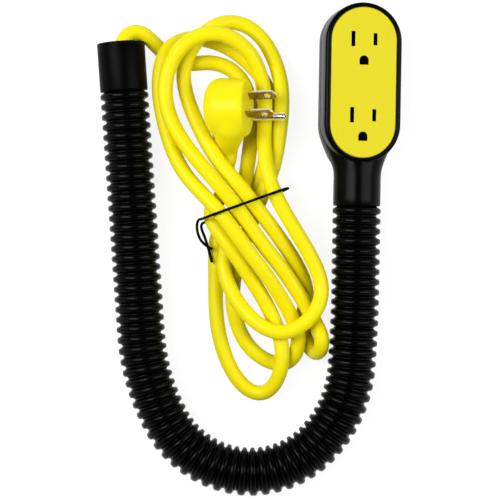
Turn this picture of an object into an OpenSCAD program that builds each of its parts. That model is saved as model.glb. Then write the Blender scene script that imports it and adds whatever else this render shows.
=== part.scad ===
// Grounded extension cord whose outlet end is a posable ribbed hose with a two-outlet head.
// It lies on a table: +Z is up, +Y runs along the head, +X across it, in millimetres.
// The origin is on the table, under the middle of the hose and head.

/* [Hose] */
// Diameter over the ribs
rib_d = 27.5; // [26:0.1:30]
// Diameter at the bottom of the grooves
groove_d = 22.6; // [21.6:0.1:25]
// Bore of the hose
hose_bore_d = 19; // [18.6:0.1:19.6]
// Distance from one rib to the next
rib_pitch = 5.75; // [5.5:0.05:6]
// Depth of the flat worn by lying on the table
hose_flat = 0.2; // [0.1:0.1:0.8]
// Direction of the hose's first run, from straight down towards the right
start_heading = 4; // [0:0.5:8]
// Diameter of the wire that keeps the hose's bend
armature_d = 3; // [2:0.1:3.4]

/* [Cuff] */
// Length of the cuff that shows
cuff_len = 27.6; // [24:0.1:40]
// Wall of the cuff
cuff_wall = 2; // [1.2:0.1:3]
// Depth of the cord gland below the rim of the cuff
gland_depth = 12; // [6:0.5:14]
// Thickness of the cord gland
gland_len = 8; // [4:0.5:9]
// Length of the spigots that hold the hose's ends
spigot_len = 12; // [6:0.5:20]
// Wall of the spigots
spigot_wall = 1.6; // [1:0.1:2]

/* [Cord] */
// Diameter of the cord
cord_d = 8.6; // [8:0.1:8.6]

/* [Head] */
// Width of the head
head_w = 43.8; // [42:0.1:50]
// Distance from the hose's end to the far end of the head
head_reach = 114.5; // [112:0.5:130]
// Length of the rounded oblong that holds the outlets
head_len = 90.4; // [89:0.1:92]
// Height of the face over the hose's axis
head_front = 13.5; // [12.5:0.1:16]
// Depth of the back below the hose's axis
head_back = 10.5; // [9.5:0.1:10.5]
// Wall of the head's shells
head_wall = 2; // [1.6:0.1:2.4]
// Rounding of the head's front edge
front_round = 2; // [0.8:0.1:3]
// Rounding of the head's back edge
back_round = 4; // [3:0.5:8]
// Turn of the head about the hose's axis, in degrees
head_roll = 9; // [0:0.5:10]
// Diameter of the neck's round collar
collar_d = 26.9; // [25:0.1:27]
// Length of the neck's round collar
collar_len = 16; // [14:0.5:18]

/* [Face] */
// Width of the yellow face
face_w = 37.5; // [36:0.1:38]
// Length of the yellow face
face_len = 84.9; // [82:0.1:86]
// Thickness of the flange behind the face
flange_t = 1.9; // [1.2:0.1:2.4]
// Distance of an outlet's blade slots beyond its middle
outlet_shift = 3; // [2:0.1:4]
// Distance from outlet to outlet
outlet_pitch = 42.8; // [40:0.1:44]

/* [Outlet] */
// Distance between the two blade slots
blade_gap = 12.7; // [12.6:0.05:12.8]
// Distance from the blade line to the ground contact
ground_gap = 11.9; // [11.8:0.05:12]
// Width of a blade slot
slot_w = 2.2; // [1.9:0.05:2.5]
// Length of the neutral slot
neutral_slot = 8.6; // [8:0.1:9.2]
// Length of the line slot
line_slot = 6.8; // [6.6:0.1:7.5]
// Width of the ground hole
ground_hole = 5.2; // [5:0.05:5.4]

/* [Plug] */
// Diameter of the plug's body
plug_d = 33.5; // [32:0.1:36]
// Length of the plug's body
plug_len = 24; // [22:0.5:28]
// Rounding of the plug's back
plug_round = 9; // [4:0.5:10]
// Width of a blade
blade_w = 6.35; // [6.2:0.05:6.5]
// Thickness of a blade
blade_t = 1.5; // [1.3:0.05:1.6]
// Length of a blade that shows
blade_len = 15.8; // [15:0.1:19]
// Diameter of the ground pin
pin_d = 4.75; // [4.6:0.05:4.9]
// Length of the ground pin that shows
pin_len = 20; // [18:0.1:22]

/* [Tie] */
// Diameter of the wire tie
tie_d = 1.6; // [1.2:0.1:1.6]

/* [Hidden] */
NODES = [
    "end_cuff", "cord_gland",
    "hose_link_1", "hose_link_2", "hose_link_3", "hose_link_4", "hose_link_5",
    "hose_link_6", "hose_link_7", "hose_link_8", "hose_link_9",
    "cable_link_1", "cable_link_2", "cable_link_3", "cable_link_4", "cable_link_5",
    "cable_link_6", "cable_link_7", "cable_link_8", "cable_link_9",
    "armature_link_1", "armature_link_2", "armature_link_3", "armature_link_4", "armature_link_5",
    "armature_link_6", "armature_link_7", "armature_link_8", "armature_link_9",
    "neck_insert", "head_back_shell", "head_front_shell", "face_plate", "outlet_carrier",
    "line_bus", "neutral_bus", "ground_bus", "line_wire", "neutral_wire", "ground_wire",
    "cable_clamp", "clamp_screws", "head_screws",
    "cord_lead", "cord_hank", "wire_tie",
    "plug_body", "plug_tail", "plug_insert", "line_blade", "neutral_blade", "ground_pin"
];
node = "all";
$fn = 48;

// Clearance between pieces that sit in one another
fit = 0.1;
// Overlap that lets cuts pass a face cleanly
cut = 1;

// Ribs on each link of the hose, and the turn of each link in degrees
link_ribs = [8, 8, 8, 9, 9, 9, 8, 8, 8];
link_turn = [0, 0, 0, 24, 54, 56, 37.5, 3.5, 0];
links = len(link_ribs);
hose_sides = 8;
ribs_per_bore_ring = 3;

hose_z = rib_d / 2 - hose_flat;
cuff_r = hose_z;
spigot_r = hose_bore_d / 2 - 2 * fit;
spigot_bore_r = spigot_r - spigot_wall;
gland_face = cuff_len - gland_depth;
gland_seat = gland_face - gland_len;
armature_lift = (cord_d + armature_d) / 2 + fit;

cap_r = head_w / 2;
head_base = head_reach - head_len;
cap_near = head_base + cap_r;
cap_far = head_reach - cap_r;
inside_w = head_w - 2 * head_wall;
face_mid = (cap_near + cap_far) / 2;
flange_top = head_front - head_wall - fit;
flange_bottom = flange_top - flange_t;
flange_w = inside_w - 4 * fit;
flange_len = head_len - 2 * head_wall - 6 * fit;
neck_steps = 12;
insert_flange_lip = 1.4;
insert_flange_r = spigot_r + insert_flange_lip;
insert_flange_at = 5;
insert_flange_t = 3;

function total(list, n) = n <= 0 ? 0 : list[n - 1] + total(list, n - 1);
function unit(v) = v / norm(v);
function along(a) = [sin(a), -cos(a), 0];
function inward(a) = [cos(a), sin(a), 0];
function heading(i) = start_heading + total(link_turn, i);
function link_len(i) = link_ribs[i] * rib_pitch;

// A point on an arc of a given length and turn; inward() points at its centre
function arc_radius(length, turn) = length * 180 / (PI * turn);
function arc_point(p, a, length, turn) =
    turn == 0 ? p + length * along(a)
              : p + arc_radius(length, turn) * (inward(a) - inward(a + turn));
function raw_start(i) =
    i == 0 ? [0, 0, hose_z]
           : arc_point(raw_start(i - 1), heading(i - 1), link_len(i - 1), link_turn[i - 1]);
function raw_point(i, t) = arc_point(raw_start(i), heading(i), link_len(i) * t, link_turn[i] * t);

// Extents of the hose, cuff and head from the hose's first end, which put the origin in their middle
crests = [
    for (i = [0:links - 1]) for (k = [0:link_ribs[i] - 1])
        let(t = (k + 0.5) / link_ribs[i])
            [raw_point(i, t), inward(heading(i) + link_turn[i] * t) * rib_d / 2]
];
end_heading = heading(links);
head_right = max(
    (cap_r - front_round) * cos(head_roll) + (head_front - front_round) * sin(head_roll) + front_round,
    (cap_r - back_round) * cos(head_roll) - (head_back - back_round) * sin(head_roll) + back_round
);
raw_end = raw_start(links);
cuff_corner = -cuff_len * along(start_heading) - cuff_r * inward(start_heading);
x_low = min(cuff_corner.x, min([for (c = crests) c[0].x - abs(c[1].x)]));
x_high = (raw_end + cap_far * along(end_heading)).x + head_right;
y_low = min([for (c = crests) c[0].y - abs(c[1].y)]);
y_high = (raw_end + head_reach * along(end_heading)).y;
middle = [(x_low + x_high) / 2, (y_low + y_high) / 2, 0];

function link_start(i) = raw_start(i) - middle;
function link_point(i, t) = raw_point(i, t) - middle;

// The cord's route, from the gland to the plug, as points chosen by hand
gland_point = link_start(0) - gland_face * along(start_heading);
lead_points = [
    [-71, 119.5, 13.5], [-67, 123.5, 12.5], [-61, 123.5, 11], [-55.5, 119.5, 8], [-50.5, 114.5, 5],
    [-43.5, 109.5, 5], [-33.5, 106.5, 5], [-22, 107.5, 5], [-10.5, 103.5, 5], [-2.5, 94.5, 5],
    [1, 82, 5], [1.5, 68, 5]
];
first_loop = [
    [0, 55, 5], [-1.5, 43, 9], [-4, 33.5, 13.5], [-6.5, 24.5, 16.5], [-11, 5.5, 12], [-14.5, -9, 14],
    [-7, -28.5, 18], [7.5, -43, 23], [22, -46, 24], [36.5, -36, 24], [41, -20, 21.5], [33, 0, 22.5],
    [16, 28.5, 24], [10, 48, 22], [8.5, 66.5, 17.5], [9, 88, 14.5], [1, 111.5, 19.5], [-18.5, 122.5, 24.5],
    [-38, 114.5, 24], [-47, 93, 24], [-41.5, 67.5, 25], [-19.5, 40, 27.5]
];
second_loop = [
    [-5, 22, 26], [6, 5.5, 23], [18.5, -10, 19.5], [30, -27.5, 14.5], [37, -40, 14.5], [41, -49, 20],
    [40.5, -57, 14.5], [37, -58, 6.5], [33.5, -52.5, 5], [30, -40.5, 5], [33, -27, 5],
    [27.5, -8, 12.5], [4, 24.5, 23], [-9.5, 41.5, 23.5], [-22, 57.5, 21.5], [-37, 92, 14.5],
    [-33.5, 111.5, 15], [-24, 124, 15], [-9.5, 130.5, 6.5], [7.5, 121.5, 5.5], [18, 97, 12],
    [18, 73, 13], [14.5, 49.5, 13.5], [10, 37.5, 13.5]
];
third_loop = [
    [5, 25, 12.5], [-2.5, 5, 6.5], [-8.5, -15.5, 5.5], [-8.5, -35, 5], [-2.5, -51.5, 5], [7.5, -61.5, 5],
    [18.5, -65, 5], [26, -60, 9.5], [28, -49, 14], [24, -37.5, 14], [12.5, -17.5, 22], [-0.5, -0.5, 27.5],
    [-13.5, 18, 29], [-28, 34, 24.5], [-41.5, 52, 19], [-51, 88, 14.5], [-47.5, 111.5, 15],
    [-38.5, 119, 9.5], [-28.5, 121, 5], [-11, 115.5, 5], [5.5, 101, 5], [12.5, 85.5, 5], [12.5, 66, 5],
    [9, 50, 5.5], [5, 36.5, 5.5]
];
last_loop = [
    [-4.5, 25, 6.5], [-16, 12.5, 5.5], [-19, 1, 5], [-19, -17, 5], [-18.5, -39, 5], [-14.5, -57.5, 5],
    [-6.5, -74, 5], [5, -82, 5.5], [14.5, -76.5, 10], [18.5, -64, 15.5], [18, -51, 14.5], [11, -32.5, 15],
    [0, -14.5, 19], [-11.5, 3, 22.5], [-22, 18.5, 17.5], [-18, 27, 14.5], [-14.5, 33, 12.5]
];
tail_point = [-12.2, 48, 12];
tail_root = [-13.2, 73, 14.5];
tail_way = unit(tail_root - tail_point);

// Three points in line start each end of the cord square to what it meets
function straight_end(p, way) = [for (k = [0:2]) p + k * cord_d / 2 * way];
lead_route = concat(straight_end(gland_point, -along(start_heading)), lead_points);
plug_end = straight_end(tail_point, -tail_way);
cord_points = concat(
    lead_route, first_loop, second_loop, third_loop, last_loop, [plug_end[2], plug_end[1], plug_end[0]]
);
lead_last = len(lead_route) - 1;
steps = 3;
lead_sides = 8;
hank_sides = 6;

// A smooth curve through the points: a cubic spline with its controls pulled out to meet them
function spline_controls(p) =
    let(n = len(p), e = concat([2 * p[0] - p[1]], p, [2 * p[n - 1] - p[n - 2]]))
        [for (i = [1:n]) (8 * e[i] - e[i - 1] - e[i + 1]) / 6];
function spline_at(q, i, t) = (
    pow(1 - t, 3) * q[i] + (3 * pow(t, 3) - 6 * t * t + 4) * q[i + 1]
    + (3 * t * t - 3 * pow(t, 3) + 3 * t + 1) * q[i + 2] + pow(t, 3) * q[i + 3]
) / 6;
function smooth_route(p, steps) =
    let(
        c = spline_controls(p), n = len(c),
        q = concat([2 * c[0] - c[1]], c, [2 * c[n - 1] - c[n - 2]])
    ) concat([for (i = [0:n - 2]) for (k = [0:steps - 1]) spline_at(q, i, k / steps)], [p[n - 1]]);

// Directions along a curve, and cross directions carried along it without twist
function tangents(c) =
    let(n = len(c)) [for (i = [0:n - 1]) unit(c[min(i + 1, n - 1)] - c[max(i - 1, 0)])];
function square_to(v, t) = unit(v - (v * t) * t);
function carried(t) = [
    for (
        i = 0, v = square_to([0, 0, 1], t[0]);
        i < len(t);
        i = i + 1, v = i < len(t) ? square_to(v, t[i]) : v
    ) v
];
function curve_rings(c, d, sides) =
    let(t = tangents(c), v = carried(t)) [
        for (i = [0:len(c) - 1])
            [for (k = [0:sides - 1]) let(f = 360 * k / sides)
                c[i] + d / 2 * (cos(f) * v[i] + sin(f) * cross(t[i], v[i]))]
    ];
cord_curve = smooth_route(cord_points, steps);
function part_of(list, first, last) = [for (i = [first:last]) list[i]];

// Least distance from the cord's surface to itself, between points that lie well apart along it
gap_window = 3 * cord_d;
gap_samples = 3;
function run_so_far(p) = [
    for (i = 0, s = 0; i < len(p); i = i + 1, s = i < len(p) ? s + norm(p[i] - p[i - 1]) : s) s
];
function least_gap(c) =
    let(
        p = [
            for (i = [0:len(c) - 2]) for (k = [0:gap_samples - 1])
                c[i] + (c[i + 1] - c[i]) * k / gap_samples
        ],
        s = run_so_far(p),
        n = len(p),
        apart = [
            for (i = [0:n - 2]) for (j = [i + 1:n - 1])
                if (s[j] - s[i] > gap_window) norm(p[i] - p[j])
        ]
    ) min(apart) - cord_d;
function path_length(c) = run_so_far(c)[len(c) - 1];

// The tie's loop in the upright plane across the hank's waist: distance along the tie, and height
tie_start = [-26, 16.5, 0];
tie_way = unit([44, 17, 0]);
tie_across = [-tie_way.y, tie_way.x, 0];
tie_spread = 1.4;
tie_loop = [
    [-2, 18], [-1, 22], [2.5, 27.5], [7, 32.5], [11.5, 34.5], [18, 34], [25, 33], [32, 31.5], [39, 30.5],
    [45, 29.5], [49.5, 27.5], [51.5, 23.5], [50, 18.5], [45, 12.5], [39, 6.5], [32, 2.5], [24, 1], [15, 1],
    [8.5, 3.5], [3, 9], [-2, 15.5]
];
tie_first_end = [[-21, 0.5, 13.5], [-27.5, 5.5, 15], [-29.5, 13.5, 16.5]];
tie_last_end = [[-25, 7.5, 12.5], [-23, 0.5, 11], [-21, -7, 11]];
tie_points = concat(
    tie_first_end,
    [for (i = [0:len(tie_loop) - 1])
        tie_start + tie_loop[i][0] * tie_way + [0, 0, tie_loop[i][1]]
        + tie_spread * (1 - 2 * i / (len(tie_loop) - 1)) * tie_across],
    tie_last_end
);
tie_sides = 8;
tie_steps = 2;

// The plug's face, tilted up from the table, and its turn about its own axis
plug_face = [-0.3, 80, 30];
plug_tilt = 13;
plug_turn = -33;
blade_line = -3;
blade_hold = 8;
insert_d = 26;
insert_at = 3;
insert_t = 4;
blade_hole_d = 3.8;
blade_hole_at = 5;
blade_taper = 1.6;
tail_root_r = 9.2;
tail_wall = 0.6;
tail_tip_r = cord_d / 2 + tail_wall;
tail_gap = 2 * fit;
tail_len = norm(tail_root - tail_point) - tail_gap;
tail_shoulder = 0.3;

// Joins rings of points, one after the other, into a closed skin of triangles
module skin(rings, ring_closed) {
    n = len(rings[0]);
    m = len(rings);
    walls = [
        for (i = [0:ring_closed ? m - 1 : m - 2]) for (k = [0:n - 1])
            let(a = i * n, b = (i + 1) % m * n, j = (k + 1) % n)
                each [[a + k, b + k, b + j], [a + k, b + j, a + j]]
    ];
    last = (m - 1) * n;
    caps = [for (k = [1:n - 2]) each [[0, k, k + 1], [last, last + k + 1, last + k]]];
    polyhedron([for (r = rings) each r], ring_closed ? walls : concat(walls, caps), convexity = 10);
}

module rod(p, q, d) {
    v = q - p;
    translate(p)
        rotate([0, acos(v.z / norm(v)), atan2(v.y, v.x)])
            cylinder(d = d, h = norm(v));
}

function hose_ring(i, t, r) =
    let(c = link_point(i, t), a = heading(i) + link_turn[i] * t) [
        for (k = [0:hose_sides - 1])
            let(f = 360 * k / hose_sides, p = c + r * (cos(f) * inward(a) + [0, 0, sin(f)]))
                [p.x, p.y, max(p.z, 0)]
    ];

// One link of the hose: ribs outside, a plain bore inside
module hose_link(i) {
    n = link_ribs[i];
    bore_rings = ceil(n / ribs_per_bore_ring);
    bore_r = hose_bore_d / 2 / cos(180 / hose_sides);
    color("#17181a")
        skin(concat(
            [for (j = [0:2 * n]) hose_ring(i, j / (2 * n), (j % 2 == 0 ? groove_d : rib_d) / 2)],
            [for (j = [bore_rings:-1:0]) hose_ring(i, j / bore_rings, bore_r)]
        ), true);
}

// Sweeps a flat shape along a link of the hose, x towards the bend's centre and y up.
// A straight link's sweep can start before the link and run on past it.
module sweep_link(i, before = 0, after = 0) {
    a = heading(i);
    turn = link_turn[i];
    if (turn == 0) {
        translate(link_start(i) - before * along(a))
            rotate([90, 0, a])
                linear_extrude(link_len(i) + before + after - fit / 2) children();
    } else {
        r = arc_radius(link_len(i), turn);
        translate(link_start(i) + r * inward(a))
            rotate([0, 0, a + 180])
                rotate_extrude(angle = turn, $fn = 96)
                    translate([r, 0]) mirror([1, 0]) children();
    }
}

// Frames of the cuff, with z up out of the hose, and of the head, with y along it and z out of its face
module at_cuff() {
    translate(link_start(0)) rotate([-90, 0, start_heading]) children();
}

module at_head() {
    translate(link_start(links))
        rotate([0, 0, end_heading - 180])
            rotate([0, head_roll, 0]) children();
}

module at_neck() {
    at_head() rotate([-90, 0, 0]) children();
}

module cable_link(i) {
    color("#e8c400")
        sweep_link(i, i == 0 ? gland_face : 0, i == links - 1 ? cable_reach : 0) circle(d = cord_d);
}

module armature_link(i) {
    color("silver")
        sweep_link(i, i == 0 ? gland_seat : 0, i == links - 1 ? insert_end : 0)
            translate([0, armature_lift]) circle(d = armature_d);
}

module end_cuff() {
    color("#141516") at_cuff() difference() {
        union() {
            cylinder(r = cuff_r, h = cuff_len);
            translate([0, 0, -spigot_len]) cylinder(r = spigot_r, h = spigot_len + gland_seat);
        }
        translate([0, 0, gland_seat]) cylinder(r = cuff_r - cuff_wall, h = cuff_len);
        translate([0, 0, -spigot_len - cut]) cylinder(r = spigot_bore_r, h = spigot_len + cuff_len);
    }
}

module cord_gland() {
    color("#222426") at_cuff() translate([0, 0, gland_seat]) difference() {
        cylinder(r = cuff_r - cuff_wall - fit, h = gland_len);
        translate([0, 0, -cut]) cylinder(d = cord_d + 2 * fit, h = gland_len + 2 * cut);
    }
}

// Half section of the head with its two edge roundings, x across and y out of the face
module half_section(half_w, low, high, low_round, high_round) {
    translate([0, low + low_round]) square([half_w, high - low - low_round - high_round]);
    translate([0, low]) square([half_w - low_round, low_round * 2]);
    translate([0, high - 2 * high_round]) square([half_w - high_round, 2 * high_round]);
    translate([half_w - low_round, low + low_round]) circle(r = low_round);
    translate([half_w - high_round, high - high_round]) circle(r = high_round);
}

// An oblong with round ends and rounded edges
module oblong(w, near, far, low, high, low_round, high_round) {
    for (y = [near, far])
        translate([0, y, 0])
            rotate_extrude($fn = 96) half_section(w / 2, low, high, low_round, high_round);
    translate([0, far, 0])
        rotate([90, 0, 0])
            linear_extrude(far - near)
                for (m = [0, 1])
                    mirror([m, 0]) half_section(w / 2, low, high, low_round, high_round);
}

module plain_oblong(w, length, low, high) {
    run = (length - w) / 2;
    translate([0, face_mid, low]) {
        for (y = [-run, run])
            translate([0, y, 0]) cylinder(d = w, h = high - low, $fn = 96);
        translate([-w / 2, -run, 0]) cube([w, 2 * run, high - low]);
    }
}

// The neck swells from the round collar to the width of the head
function neck_r(t, grow) = collar_d / 2 + (cap_r - collar_d / 2) * (1 - cos(180 * t)) / 2 - grow;
module neck_swell(grow, low, high) {
    run = cap_near - collar_len;
    intersection() {
        rotate([-90, 0, 0])
            rotate_extrude($fn = 96)
                polygon(concat(
                    [[0, collar_len]],
                    [for (k = [0:neck_steps])
                        [neck_r(k / neck_steps, grow), collar_len + run * k / neck_steps]],
                    [[0, cap_near]]
                ));
        translate([-head_w, 0, low]) cube([2 * head_w, head_reach, high - low]);
    }
}

module head_outside() {
    oblong(head_w, cap_near, cap_far, -head_back, head_front, back_round, front_round);
    neck_swell(0, -head_back, head_front);
    rotate([-90, 0, 0]) cylinder(d = collar_d, h = collar_len);
}

// The hollow inside the shells, with a seat for the insert's flange
inside_low = head_wall - head_back;
inside_high = head_front - head_wall;
inside_back_round = 1;
inside_front_round = 2 * fit;
module head_inside() {
    oblong(inside_w, cap_near, cap_far, inside_low, inside_high, inside_back_round, inside_front_round);
    neck_swell(head_wall, inside_low, inside_high);
    rotate([-90, 0, 0]) {
        translate([0, 0, -cut]) cylinder(r = spigot_r + fit, h = collar_len + 2 * cut);
        translate([0, 0, insert_flange_at - fit])
            cylinder(r = insert_flange_r + fit, h = insert_flange_t + 2 * fit);
    }
}

module half_space(side) {
    translate([-head_w, -head_w, side < 0 ? -head_w : 0])
        cube([2 * head_w, head_reach + 2 * head_w, head_w]);
}

module neck_insert() {
    color("#2a2c2f") at_neck() difference() {
        union() {
            translate([0, 0, -spigot_len]) cylinder(r = spigot_r, h = spigot_len + insert_end);
            translate([0, 0, insert_flange_at]) cylinder(r = insert_flange_r, h = insert_flange_t);
        }
        translate([0, 0, -spigot_len - cut])
            cylinder(r = spigot_bore_r, h = spigot_len + insert_end + 2 * cut);
    }
}

// Screw posts: one pair past the far outlet, one pair between the near outlet and the neck
post_r = 2.8;
far_posts = [10, cap_far + 11];
near_posts = [8.2, cap_near - 13.5];
post_places = [for (p = [far_posts, near_posts]) for (s = [1, -1]) [s * p.x, p.y]];
screw_r = 1.4;
screw_head_r = 2.6;
screw_head_t = 1.6;
screw_sink = 0.2;
screw_seat = -head_back + screw_head_t + screw_sink;
boss_wall = 1.2;
boss_h = 2;
boss_top = screw_seat + boss_h;
screw_end = 2;

// The clamp that holds the cable in the neck
clamp_at = collar_len + 3;
clamp_len = 6;
clamp_half_w = 8;
clamp_top = 5.5;
clamp_slit = 0.3;
clamp_screw_x = 6.2;
clamp_screw_r = 1;
clamp_head_r = 1.6;
clamp_head_t = 1;
clamp_screw_depth = 4;
cable_reach = clamp_at + clamp_len + 2;
insert_end = 10;

module clamp_block(low, high) {
    translate([-clamp_half_w, clamp_at, low]) cube([2 * clamp_half_w, clamp_len, high - low]);
}

module clamp_drill(r, low, high) {
    for (x = [-clamp_screw_x, clamp_screw_x])
        translate([x, clamp_at + clamp_len / 2, low]) cylinder(r = r, h = high - low);
}

module cable_hole() {
    rotate([-90, 0, 0]) cylinder(d = cord_d + fit, h = head_reach);
}

module head_back_shell() {
    color("#161718") at_head() difference() {
        union() {
            intersection() {
                difference() {
                    head_outside();
                    head_inside();
                }
                half_space(-1);
            }
            intersection() {
                head_outside();
                union() {
                    clamp_block(-head_back, -clamp_slit);
                    bus_bed();
                    for (p = post_places)
                        translate([p.x, p.y, -head_back])
                            cylinder(r = post_r + boss_wall, h = head_back + boss_top);
                }
            }
        }
        cable_hole();
        clamp_drill(clamp_screw_r + fit, -clamp_screw_depth - fit, cut);
        for (p = post_places)
            translate([p.x, p.y, -head_back - cut]) {
                cylinder(r = screw_r + fit, h = head_back + cut);
                cylinder(r = screw_head_r + 2 * fit, h = screw_seat + head_back + cut);
            }
    }
}

module head_front_shell() {
    color("#161718") at_head() difference() {
        intersection() {
            difference() {
                head_outside();
                head_inside();
            }
            half_space(1);
        }
        plain_oblong(face_w + 2 * fit, face_len + 2 * fit, flange_bottom, head_front + cut);
    }
}

// Where each outlet's blade line lies along the head
outlets = [for (s = [-1, 1]) face_mid + s * outlet_pitch / 2 + outlet_shift];
slot_clear = 0.6;
module outlet_cuts(grow, low, high) {
    for (y = outlets) {
        for (s = [[-1, neutral_slot], [1, line_slot]])
            translate([s[0] * blade_gap / 2 - slot_w / 2 - grow, y - s[1] / 2 - grow, low])
                cube([slot_w + 2 * grow, s[1] + 2 * grow, high - low]);
        translate([0, y - ground_gap, low]) {
            cylinder(d = ground_hole + 2 * grow, h = high - low);
            translate([-ground_hole / 2 - grow, -ground_hole / 2 - grow, 0])
                cube([ground_hole + 2 * grow, ground_hole / 2 + grow, high - low]);
        }
    }
}

module face_plate() {
    color("#e9d21c") at_head() difference() {
        union() {
            plain_oblong(face_w, face_len, flange_bottom, head_front);
            plain_oblong(flange_w, flange_len, flange_bottom, flange_top);
            for (p = post_places)
                translate([p.x, p.y, boss_top + fit])
                    cylinder(r = post_r, h = flange_top - boss_top - fit);
        }
        outlet_cuts(0, flange_bottom - cut, head_front + cut);
        for (p = post_places)
            translate([p.x, p.y, boss_top - cut])
                cylinder(r = screw_r + fit / 2, h = screw_end + fit - boss_top + cut);
    }
}

// The insulating block behind the face, over the contacts
carrier_w = 30;
carrier_margin = 6.5;
carrier_bottom = 2.4;
module outlet_carrier() {
    near = outlets[0] - ground_gap - carrier_margin / 2;
    far = outlets[1] + carrier_margin;
    color("#2d2f33") at_head() difference() {
        translate([-carrier_w / 2, near, carrier_bottom])
            cube([carrier_w, far - near, flange_bottom - fit - carrier_bottom]);
        outlet_cuts(slot_clear, carrier_bottom - cut, flange_bottom + cut);
    }
}

// Brass strips with sprung leaves for the blades and tubes for the ground pins
strip_t = 1;
strip_w = 5;
strip_top = -3;
leaf_t = 0.8;
leaf_len = 6;
leaf_top = carrier_bottom - fit;
tube_wall = 0.8;
bed_len = 5;
bed_at = outlets[0] + outlet_pitch / 3;
module bus_bed() {
    translate([-blade_gap / 2 - strip_w / 2, bed_at, -head_back])
        cube([blade_gap + strip_w, bed_len, head_back + strip_top - strip_t]);
}

module blade_bus(side) {
    color("#c9a44a") at_head() translate([side * blade_gap / 2, 0, 0]) {
        translate([-strip_w / 2, outlets[0] - leaf_len / 2, strip_top - strip_t])
            cube([strip_w, outlet_pitch + leaf_len, strip_t]);
        for (y = outlets) for (s = [-1, 1])
            translate([s * (blade_t + leaf_t) / 2 - leaf_t / 2, y - leaf_len / 2, strip_top])
                cube([leaf_t, leaf_len, leaf_top - strip_top]);
    }
}

module ground_bus() {
    color("#c9a44a") at_head() difference() {
        union() {
            translate([-strip_w / 2, outlets[0] - ground_gap, strip_top - strip_t])
                cube([strip_w, outlet_pitch, strip_t]);
            for (y = outlets)
                translate([0, y - ground_gap, strip_top - strip_t])
                    cylinder(d = ground_hole + 2 * tube_wall, h = leaf_top - strip_top + strip_t);
        }
        for (y = outlets)
            translate([0, y - ground_gap, strip_top - strip_t - cut])
                cylinder(d = ground_hole, h = leaf_top - strip_top + strip_t + 2 * cut);
    }
}

// Three insulated wires from the cable's end to the strips
wire_d = 2.5;
wire_end_z = strip_top + wire_d / 2 + fit;
wire_from = cable_reach + 5 * fit;
wire_spread = 3;
wire_rise = 1;
ground_wire_rise = -2;
module blade_wire(side, tint) {
    stop = outlets[0] - leaf_len / 2 - 4 * fit;
    color(tint) at_head()
        rod([side * wire_spread, wire_from, wire_rise], [side * blade_gap / 2, stop, wire_end_z], wire_d);
}

module ground_wire() {
    stop = outlets[0] - ground_gap - ground_hole / 2 - tube_wall - 3 * fit;
    color("green") at_head() rod([0, wire_from, ground_wire_rise], [0, stop, wire_end_z], wire_d);
}

module cable_clamp() {
    color("#33363a") at_head() difference() {
        clamp_block(clamp_slit, clamp_top);
        cable_hole();
        clamp_drill(clamp_screw_r + fit, -cut, clamp_top + cut);
    }
}

module clamp_screws() {
    color("silver") at_head() {
        clamp_drill(clamp_screw_r, -clamp_screw_depth, clamp_top + clamp_head_t);
        clamp_drill(clamp_head_r, clamp_top, clamp_top + clamp_head_t);
    }
}

module head_screws() {
    color("silver") at_head() for (p = post_places)
        translate([p.x, p.y, screw_seat - screw_head_t]) {
            cylinder(r = screw_head_r, h = screw_head_t);
            cylinder(r = screw_r, h = screw_end - screw_seat + screw_head_t);
        }
}

module cord_lead() {
    rings = curve_rings(cord_curve, cord_d, lead_sides);
    color("#f0d400") skin(part_of(rings, 0, lead_last * steps), false);
}

module cord_hank() {
    rings = curve_rings(cord_curve, cord_d, hank_sides);
    last = len(cord_curve) - 1;
    echo(least_gap_mm = least_gap(cord_curve), cord_length_mm = path_length(cord_curve));
    color("#f0d400") skin(part_of(rings, lead_last * steps, last), false);
}

module wire_tie() {
    color("#111111") skin(curve_rings(smooth_route(tie_points, tie_steps), tie_d, tie_sides), false);
}

// Frame of the plug: z out of its face, x towards the ground pin, y across the blades
module at_plug() {
    translate(plug_face) rotate([0, 90 - plug_tilt, 0]) rotate([0, 0, plug_turn]) children();
}

module plug_solid() {
    translate([0, 0, -plug_len])
        rotate_extrude($fn = 96) {
            translate([0, plug_round]) square([plug_d / 2, plug_len - plug_round]);
            square([plug_d / 2 - plug_round, plug_len]);
            intersection() {
                translate([plug_d / 2 - plug_round, plug_round]) circle(r = plug_round);
                square([plug_d, plug_len]);
            }
        }
}

module blade_holes(grow) {
    for (s = [-1, 1])
        translate([blade_line - blade_w / 2 - grow, s * blade_gap / 2 - blade_t / 2 - grow, -blade_hold])
            cube([blade_w + 2 * grow, blade_t + 2 * grow, blade_hold + cut]);
    translate([blade_line + ground_gap, 0, -blade_hold])
        cylinder(d = pin_d + 2 * grow, h = blade_hold + cut);
}

module plug_body() {
    color("#f2d800") at_plug() difference() {
        plug_solid();
        blade_holes(fit);
        translate([0, 0, -insert_at - insert_t]) cylinder(d = insert_d, h = insert_t);
    }
}

module plug_insert() {
    color("#3a3a3a") at_plug() difference() {
        translate([0, 0, -insert_at - insert_t + fit])
            cylinder(d = insert_d - 2 * fit, h = insert_t - 2 * fit);
        blade_holes(fit);
    }
}

// The tail's cone runs into a round end that is moulded into the plug's side
module plug_tail() {
    color("#f2d800") difference() {
        translate(tail_point + tail_gap * tail_way)
            rotate([0, acos(tail_way.z), atan2(tail_way.y, tail_way.x)]) {
                cylinder(r1 = tail_tip_r, r2 = tail_root_r - tail_shoulder, h = tail_len);
                translate([0, 0, tail_len]) sphere(r = tail_root_r);
            }
        at_plug() plug_solid();
    }
}

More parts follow.
